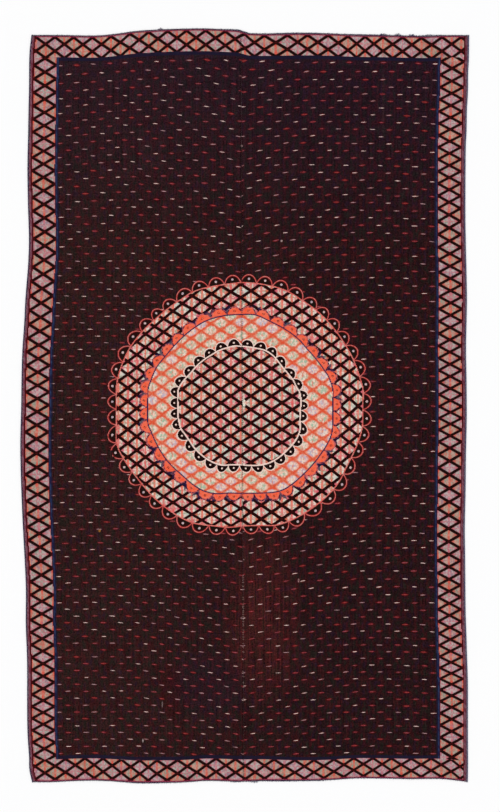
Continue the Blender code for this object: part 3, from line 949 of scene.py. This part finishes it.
def ripple(x, y):
    """Slight unevenness of the top of the cloth."""
    wide = noise.noise(Vector((x * 9.0, y * 5.0, 1.0)))
    ribs = noise.noise(Vector((x * 55.0, y * 3.5, 7.0)))
    return RIPPLE_WIDE * wide + RIPPLE_RIBS * ribs


def linked(name, mesh):
    """A piece with a mesh, put in the scene."""
    piece = bpy.data.objects.new(name, mesh)
    bpy.context.scene.collection.objects.link(piece)
    return piece


def woven_half(name, side):
    """One woven half: a thin closed sheet with the cloth's outline and soft ridges."""
    outer = side * (CLOTH_WIDTH / 2 - SIDE_EDGING_WIDTH - PIECE_GAP)
    reach = CLOTH_LENGTH / 2 - END_EDGING_WIDTH - PIECE_GAP
    shares = even_steps(0.0, 1.0, MESH_STEP / abs(seam_x(0.0) - outer))
    if side > 0:
        shares.reverse()
    rows = even_steps(-reach, reach, MESH_STEP)
    wide = len(shares)
    start, end = SIDE_LATTICE[side]
    side_rows = LEFT_DIAMONDS if side < 0 else RIGHT_DIAMONDS

    tops, unders = [], []
    marks = {label: [] for label in (
        "dash_rows", "side_border", "end_border", "ring_columns", "ring_rows", "scallops")}
    for y in rows:
        join = seam_x(y) + side * PIECE_GAP / 2
        for share in shares:
            x = outer + (join - outer) * share
            at_x, at_y = pulled(x, y)
            low = rise(x, y)
            unders.append((at_x - BOX_MIDDLE_X, at_y - BOX_MIDDLE_Y, low))
            tops.append((*unders[-1][:2], low + PANEL_THICK + ripple(x, y)))

            off_x, off_y = at_x - ROUND_X, at_y - ROUND_Y
            marks["dash_rows"] += (
                (x - DASH_START) / DASH_PITCH - dash_creep(side, x, at_y),
                dash_row(side, x, at_y), round_scale(off_x, off_y))
            depth = CLOTH_WIDTH / 2 - abs(x)
            across = (depth - start) / (end - start) - 0.5
            marks["side_border"] += (-side * across, read_table(side_rows, at_y), depth)
            end_depth = CLOTH_LENGTH / 2 - abs(y)
            if y > 0:
                column = read_table(TOP_DIAMONDS, at_x)
                row = (end_depth - TOP_BAND[0]) / TOP_BAND[1]
            else:
                end_depth *= 1.0 + FOOT_SQUEEZE * between(-0.05, 0.20, at_x)
                column = read_table(FOOT_DIAMONDS, at_x) + 1.0
                row = (FOOT_BAND[0] - end_depth) / FOOT_BAND[1]
            marks["end_border"] += (column, row, end_depth)
            columns, ring_lines = ring_places(side, off_x, at_y)
            marks["ring_columns"] += columns
            marks["ring_rows"] += ring_lines
            marks["scallops"] += scallop_numbers(side, off_x, off_y)

    count = len(tops)
    faces = []
    for row in range(len(rows) - 1):
        for column in range(wide - 1):
            a = row * wide + column
            quad = (a, a + 1, a + 1 + wide, a + wide)
            faces.append(quad)
            faces.append(tuple(count + i for i in reversed(quad)))
    rim = list(range(wide))
    rim += [row * wide + wide - 1 for row in range(1, len(rows))]
    rim += [(len(rows) - 1) * wide + column for column in range(wide - 2, -1, -1)]
    rim += [row * wide for row in range(len(rows) - 2, 0, -1)]
    for this, after in zip(rim, rim[1:] + rim[:1]):
        faces.append((this, this + count, after + count, after))

    mesh = bpy.data.meshes.new(name)
    mesh.from_pydata(tops + unders, [], faces)
    for label, values in marks.items():
        layer = mesh.attributes.new(label, "FLOAT_VECTOR", "POINT")
        layer.data.foreach_set("vector", values + values)
    for material in (PLAIN_FIELD, BORDERS[side], FIGURE):
        mesh.materials.append(material)

    near_side = end + NAVY_LINE + MATERIAL_MARGIN
    near_end = FOOT_BAND[2] + NAVY_LINE + MATERIAL_MARGIN
    for face in mesh.polygons:
        index = face.vertices[0] % count
        depth, end_depth = [
            marks[label][3 * index + 2] for label in ("side_border", "end_border")]
        at_x, at_y, _ = tops[index]
        from_round = math.hypot(
            at_x + BOX_MIDDLE_X - ROUND_X, at_y + BOX_MIDDLE_Y - ROUND_Y)
        if depth < near_side or end_depth < near_end:
            face.material_index = 1
        elif from_round < ROUND_REACH + MATERIAL_MARGIN:
            face.material_index = 2
    piece = linked(name, mesh)
    map_for_baking(piece, wide, len(rows), count)
    mesh.update()
    for face in mesh.polygons:
        face.use_smooth = True
    return piece


def map_for_baking(piece, wide, long, count):
    """Lays the top out flat in two strips, with the underside over it and the rim folded out."""
    mesh = piece.data
    layer = mesh.uv_layers.new(name="OFBake")
    places = [vert.co.copy() for vert in mesh.vertices]
    left = min(place.x for place in places)
    middle_row = long // 2
    middle_y = min(places[middle_row * wide + column].y for column in range(wide))
    low = min(place.y for place in places)
    span = 2 * (max(place.x for place in places) - left + BAKE_GAP)
    for face in mesh.polygons:
        upper = min((index % count) // wide for index in face.vertices) >= middle_row
        is_rim = any(i < count for i in face.vertices) and any(i >= count for i in face.vertices)
        out = face.normal
        for loop in face.loop_indices:
            index = mesh.loops[loop].vertex_index
            place = places[index % count]
            across, along = place.x - left + BAKE_EDGE, place.y
            if is_rim and index >= count:
                across += out.x * PANEL_THICK
                along += out.y * PANEL_THICK
            if upper:
                uv = (across / span + 0.5, (along - middle_y + BAKE_GAP) / span)
            else:
                uv = (across / span, (along - low + BAKE_EDGE) / span)
            layer.data[loop].uv = uv


left_cloth = woven_half("left_half", -1)
right_cloth = woven_half("right_half", 1)


# Edging yarn, the seam's stitches and the frayed ends

class Pile:
    """Points and faces of one piece, with a material for each face."""

    def __init__(self):
        self.points = []
        self.faces = []
        self.kinds = []

    def add(self, points, faces, kind=0):
        first = len(self.points)
        self.points += points
        self.faces += [tuple(first + i for i in face) for face in faces]
        self.kinds += [kind] * len(faces)

    def made(self, name, materials):
        mesh = bpy.data.meshes.new(name)
        mesh.from_pydata(self.points, [], self.faces)
        for material in materials:
            mesh.materials.append(material)
        mesh.polygons.foreach_set("material_index", self.kinds)
        mesh.polygons.foreach_set("use_smooth", [True] * len(self.faces))
        mesh.update()
        return linked(name, mesh)


def circle(sides):
    """Cosine and sine of even turns round a circle."""
    angles = [2 * math.pi * side / sides for side in range(sides)]
    return [(math.cos(angle), math.sin(angle)) for angle in angles]


def tube_faces(count, sides, closed=False):
    """Faces that join rings of points, with an end at each side unless they close."""
    faces = []
    for i in range(count if closed else count - 1):
        a, b = i * sides, ((i + 1) % count) * sides
        for side in range(sides):
            after = (side + 1) % sides
            faces.append((a + side, b + side, b + after, a + after))
    if not closed:
        faces.append(tuple(range(sides)))
        faces.append(tuple((count - 1) * sides + side for side in reversed(range(sides))))
    return faces


def yarn(points, radii, ups, sides, closed=False):
    """A yarn's skin along a line of points."""
    count = len(points)
    skin = []
    for i, (point, radius, up) in enumerate(zip(points, radii, ups)):
        before = points[(i - 1) % count] if closed or i else point
        after = points[(i + 1) % count] if closed or i < count - 1 else point
        ahead = (after - before).normalized()
        level = ahead.cross(up).normalized()
        upward = level.cross(ahead)
        skin += [point + level * (radius * cos) + upward * (radius * sin)
                 for cos, sin in circle(sides)]
    return skin, tube_faces(count, sides, closed)


def edge_frame(x, y, along):
    """A place on the laid edge, with the way along it and the way out across it."""
    at = Vector((*lay(x, y), 0.0))
    ahead = Vector((*lay(x + along.x * 0.004, y + along.y * 0.004), 0.0)) - at
    ahead.normalize()
    return at, ahead, Vector((ahead.y, -ahead.x, 0.0))


def bound_side(name, side, materials):
    """Yarn wrapped closely over a side edge, round a flat core."""
    pile = Pile()
    x = side * (CLOTH_WIDTH - SIDE_EDGING_WIDTH) / 2
    reach = CLOTH_LENGTH / 2 - END_CLEARANCE
    along = Vector((0.0, 1.0, 0.0))
    stations = even_steps(-reach, reach, CORE_STEP)
    skin = []
    for y in stations:
        at, _, out = edge_frame(x, y, along)
        skin += [at + out * (CORE_WIDTH * cos) + UP * (CORE_RISE + CORE_HEIGHT * sin)
                 for cos, sin in circle(8)]
    pile.add(skin, tube_faces(len(stations), 8))
    draw = random.Random(31 + side)
    for y in even_steps(-reach, reach, WRAP_PITCH):
        at, ahead, out = edge_frame(x, y + draw.uniform(-0.0003, 0.0003), along)
        lean = WRAP_PITCH * draw.uniform(0.25, 0.45)
        wide = WRAP_WIDTH * draw.uniform(0.9, 1.08)
        ring = [at + out * (wide * cos) + ahead * (lean * cos)
                + UP * (WRAP_RISE + WRAP_HEIGHT * sin) for cos, sin in circle(8)]
        pile.add(*yarn(ring, [YARN_RADIUS] * 8, [ahead] * 8, 5, True),
                 0 if draw.random() < 0.9 else 1)
    return pile.made(name, materials)


def twined_end(name, end, materials):
    """Two yarns twined along an end, with the warp's short frayed ends beyond them."""
    pile = Pile()
    y = end * (CLOTH_LENGTH - END_EDGING_WIDTH) / 2
    reach = CLOTH_WIDTH / 2 - END_CLEARANCE
    along = Vector((1.0, 0.0, 0.0))
    stations = even_steps(-reach, reach, PLY_TURN / 8)
    for ply in range(2):
        points, ups = [], []
        for x in stations:
            at, _, out = edge_frame(x, y, along)
            angle = 2 * math.pi * (x / PLY_TURN + ply / 2)
            away = out * math.cos(angle) + UP * math.sin(angle)
            points.append(at + UP * PLY_RISE + away * PLY_APART)
            ups.append(away)
        pile.add(*yarn(points, [PLY_RADIUS] * len(points), ups, 5), 0)
    draw = random.Random(71 + end)
    tufts = TOP_TUFTS if end > 0 else FOOT_TUFTS
    place, bushy = -reach, 0.0
    while place < reach:
        place += draw.uniform(0.0025, 0.0085) * (1.0 - 0.75 * bushy)
        x = min(place, reach)
        length = draw.uniform(0.0008, 0.0030)
        bushy = 0.0
        for tuft_x, half, tall in tufts:
            near = max(0.0, 1.0 - abs(x - tuft_x) / (2.2 * half))
            length = max(length, tall * near * draw.uniform(0.5, 1.0))
            bushy = max(bushy, min(1.0, 1.6 * near))
        at, ahead, out = edge_frame(x, y, along)
        away = out * -end
        lean = draw.uniform(-0.7, 0.7)
        points = []
        for share in (0.0, 0.25, 0.5, 0.75, 1.0):
            points.append(
                at + away * (0.0009 + length * share) + ahead * (length * lean * share**1.6)
                + UP * (0.0013 + 0.0012 * share * (1.0 - share) * 2.0 - 0.0007 * share))
        thick = draw.uniform(0.00028, 0.00050) * (1.0 + 0.6 * bushy)
        radii = [thick * share for share in (1.0, 1.0, 0.85, 0.6, 0.25)]
        pile.add(*yarn(points, radii, [UP] * 5, 4), draw.choice((0, 1, 2)))
    return pile.made(name, materials)


def sewn_seam(name, materials):
    """Small stitches over the join: dark, and paler where it was sewn again."""
    pile = Pile()
    draw = random.Random(5)
    reach = CLOTH_LENGTH / 2 - 0.012
    for y in even_steps(-reach, reach, STITCH_PITCH):
        y += draw.uniform(-0.0012, 0.0012)
        mended = PALE_STITCHES[0] < y < PALE_STITCHES[1]
        half = draw.uniform(0.0022, 0.0036)
        lean = draw.uniform(-0.0016, 0.0016)
        points = []
        for share in (-1.0, -0.6, 0.0, 0.6, 1.0):
            x = seam_x(y) + half * share
            top = rise(x, y) + PANEL_THICK + STITCH_RISE - 0.0012 * share**2
            points.append(Vector((*lay(x, y + lean * share), top)))
        radii = [STITCH_RADIUS * share for share in (0.6, 1.0, 1.0, 1.0, 0.6)]
        pile.add(*yarn(points, radii, [UP] * 5, 5), 1 if mended and draw.random() < 0.55 else 0)
    return pile.made(name, materials)


def yarn_material(name, dye, second):
    """Matt wool yarn: two close tones, a darker twist and fuzz."""
    material, tree, shader = new_material(name)
    place = spot(tree)
    x, y, _ = place.split()
    tone, fine, twist = cloudy(place * 30.0), cloudy(place * 900.0), clouds(x, y, 260, 260)
    colour = blended((tone * 3.0 - 1.0).within(), dye, second)
    feed(tree, shader.inputs["Base Color"], toned(fine * 0.6 + twist * 0.5 + 0.45, colour))
    emboss(tree, shader, fine + twist, 0.5, 0.0003)
    return material


navy, lilac, slate, pale_warp, brown, cream = [yarn_material(*given) for given in (
    ("navy_yarn", (40, 34, 62), (72, 40, 74)),
    ("lilac_yarn", (92, 84, 108), (70, 62, 98)),
    ("slate_yarn", (66, 84, 116), (48, 52, 84)),
    ("pale_warp", (170, 168, 176), (120, 116, 132)),
    ("brown_thread", (40, 24, 26), (60, 34, 34)),
    ("cream_thread", (206, 176, 168), (180, 140, 132)),
)]

left_edge = bound_side("left_bound_edge", -1, [navy, slate])
right_edge = bound_side("right_bound_edge", 1, [lilac, slate])
top_edge = twined_end("top_twined_end", 1, [navy, slate, pale_warp])
foot_edge = twined_end("foot_twined_end", -1, [navy, slate, pale_warp])
seam = sewn_seam("seam_stitches", [brown, cream])


def floor_material():
    """A pale, even floor."""
    material, tree, shader = new_material("pale_floor", 0.8)
    x, y, _ = spot(tree).split()
    pale = blended(clouds(x, y, 3, 3), (252, 252, 253), (253, 253, 253))
    feed(tree, shader.inputs["Base Color"], pale)
    return material


def add_floor():
    """A wide floor just under the cloth."""
    bpy.ops.object.select_all(action="DESELECT")
    bpy.ops.mesh.primitive_plane_add(size=30.0, location=(0.0, 0.0, -0.0002))
    floor = bpy.context.object
    floor.name = "floor"
    bpy.ops.object.transform_apply(location=True, rotation=True, scale=True)
    floor.data.materials.append(floor_material())


def add_lights():
    """White light from all round, and a soft lamp from the upper left."""
    world = bpy.data.worlds.new("studio")
    world.use_nodes = True
    world.node_tree.nodes["Background"].inputs[0].default_value = (1.0, 1.0, 1.0, 1.0)
    world.node_tree.nodes["Background"].inputs[1].default_value = 0.71
    bpy.context.scene.world = world
    lamp = bpy.data.lights.new("soft_lamp", "SUN")
    lamp.energy = 1.30
    lamp.angle = math.radians(24)
    sun = bpy.data.objects.new("soft_lamp", lamp)
    sun.rotation_euler = (math.radians(24), math.radians(-38), 0.0)
    bpy.context.scene.collection.objects.link(sun)


def add_camera():
    """Straight above the cloth, with the picture as tall as the view."""
    lens = bpy.data.cameras.new("camera")
    lens.sensor_width = 36.0
    lens.lens = lens.sensor_width * CAMERA_HEIGHT / VIEW_HEIGHT
    lens.clip_end = 60.0
    camera = bpy.data.objects.new("camera", lens)
    camera.location = (0.0158, -0.0010, CAMERA_HEIGHT)
    bpy.context.scene.collection.objects.link(camera)
    bpy.context.scene.camera = camera


add_floor()
add_lights()
add_camera()
bpy.context.scene.view_settings.view_transform = "Standard"

for piece, node in (
    (left_edge, "left_edging"), (right_edge, "right_edging"), (top_edge, "top_edging"),
    (foot_edge, "bottom_edging"),
):
    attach(piece, "root")
    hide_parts(node)
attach(seam, "root")

for cloth, node, wide, with_pieces in (
    (left_cloth, "left_panel", 0.63, [left_edge, seam]),
    (right_cloth, "right_panel", 0.66, [right_edge, top_edge, foot_edge]),
):
    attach(cloth, "root")
    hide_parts(node)
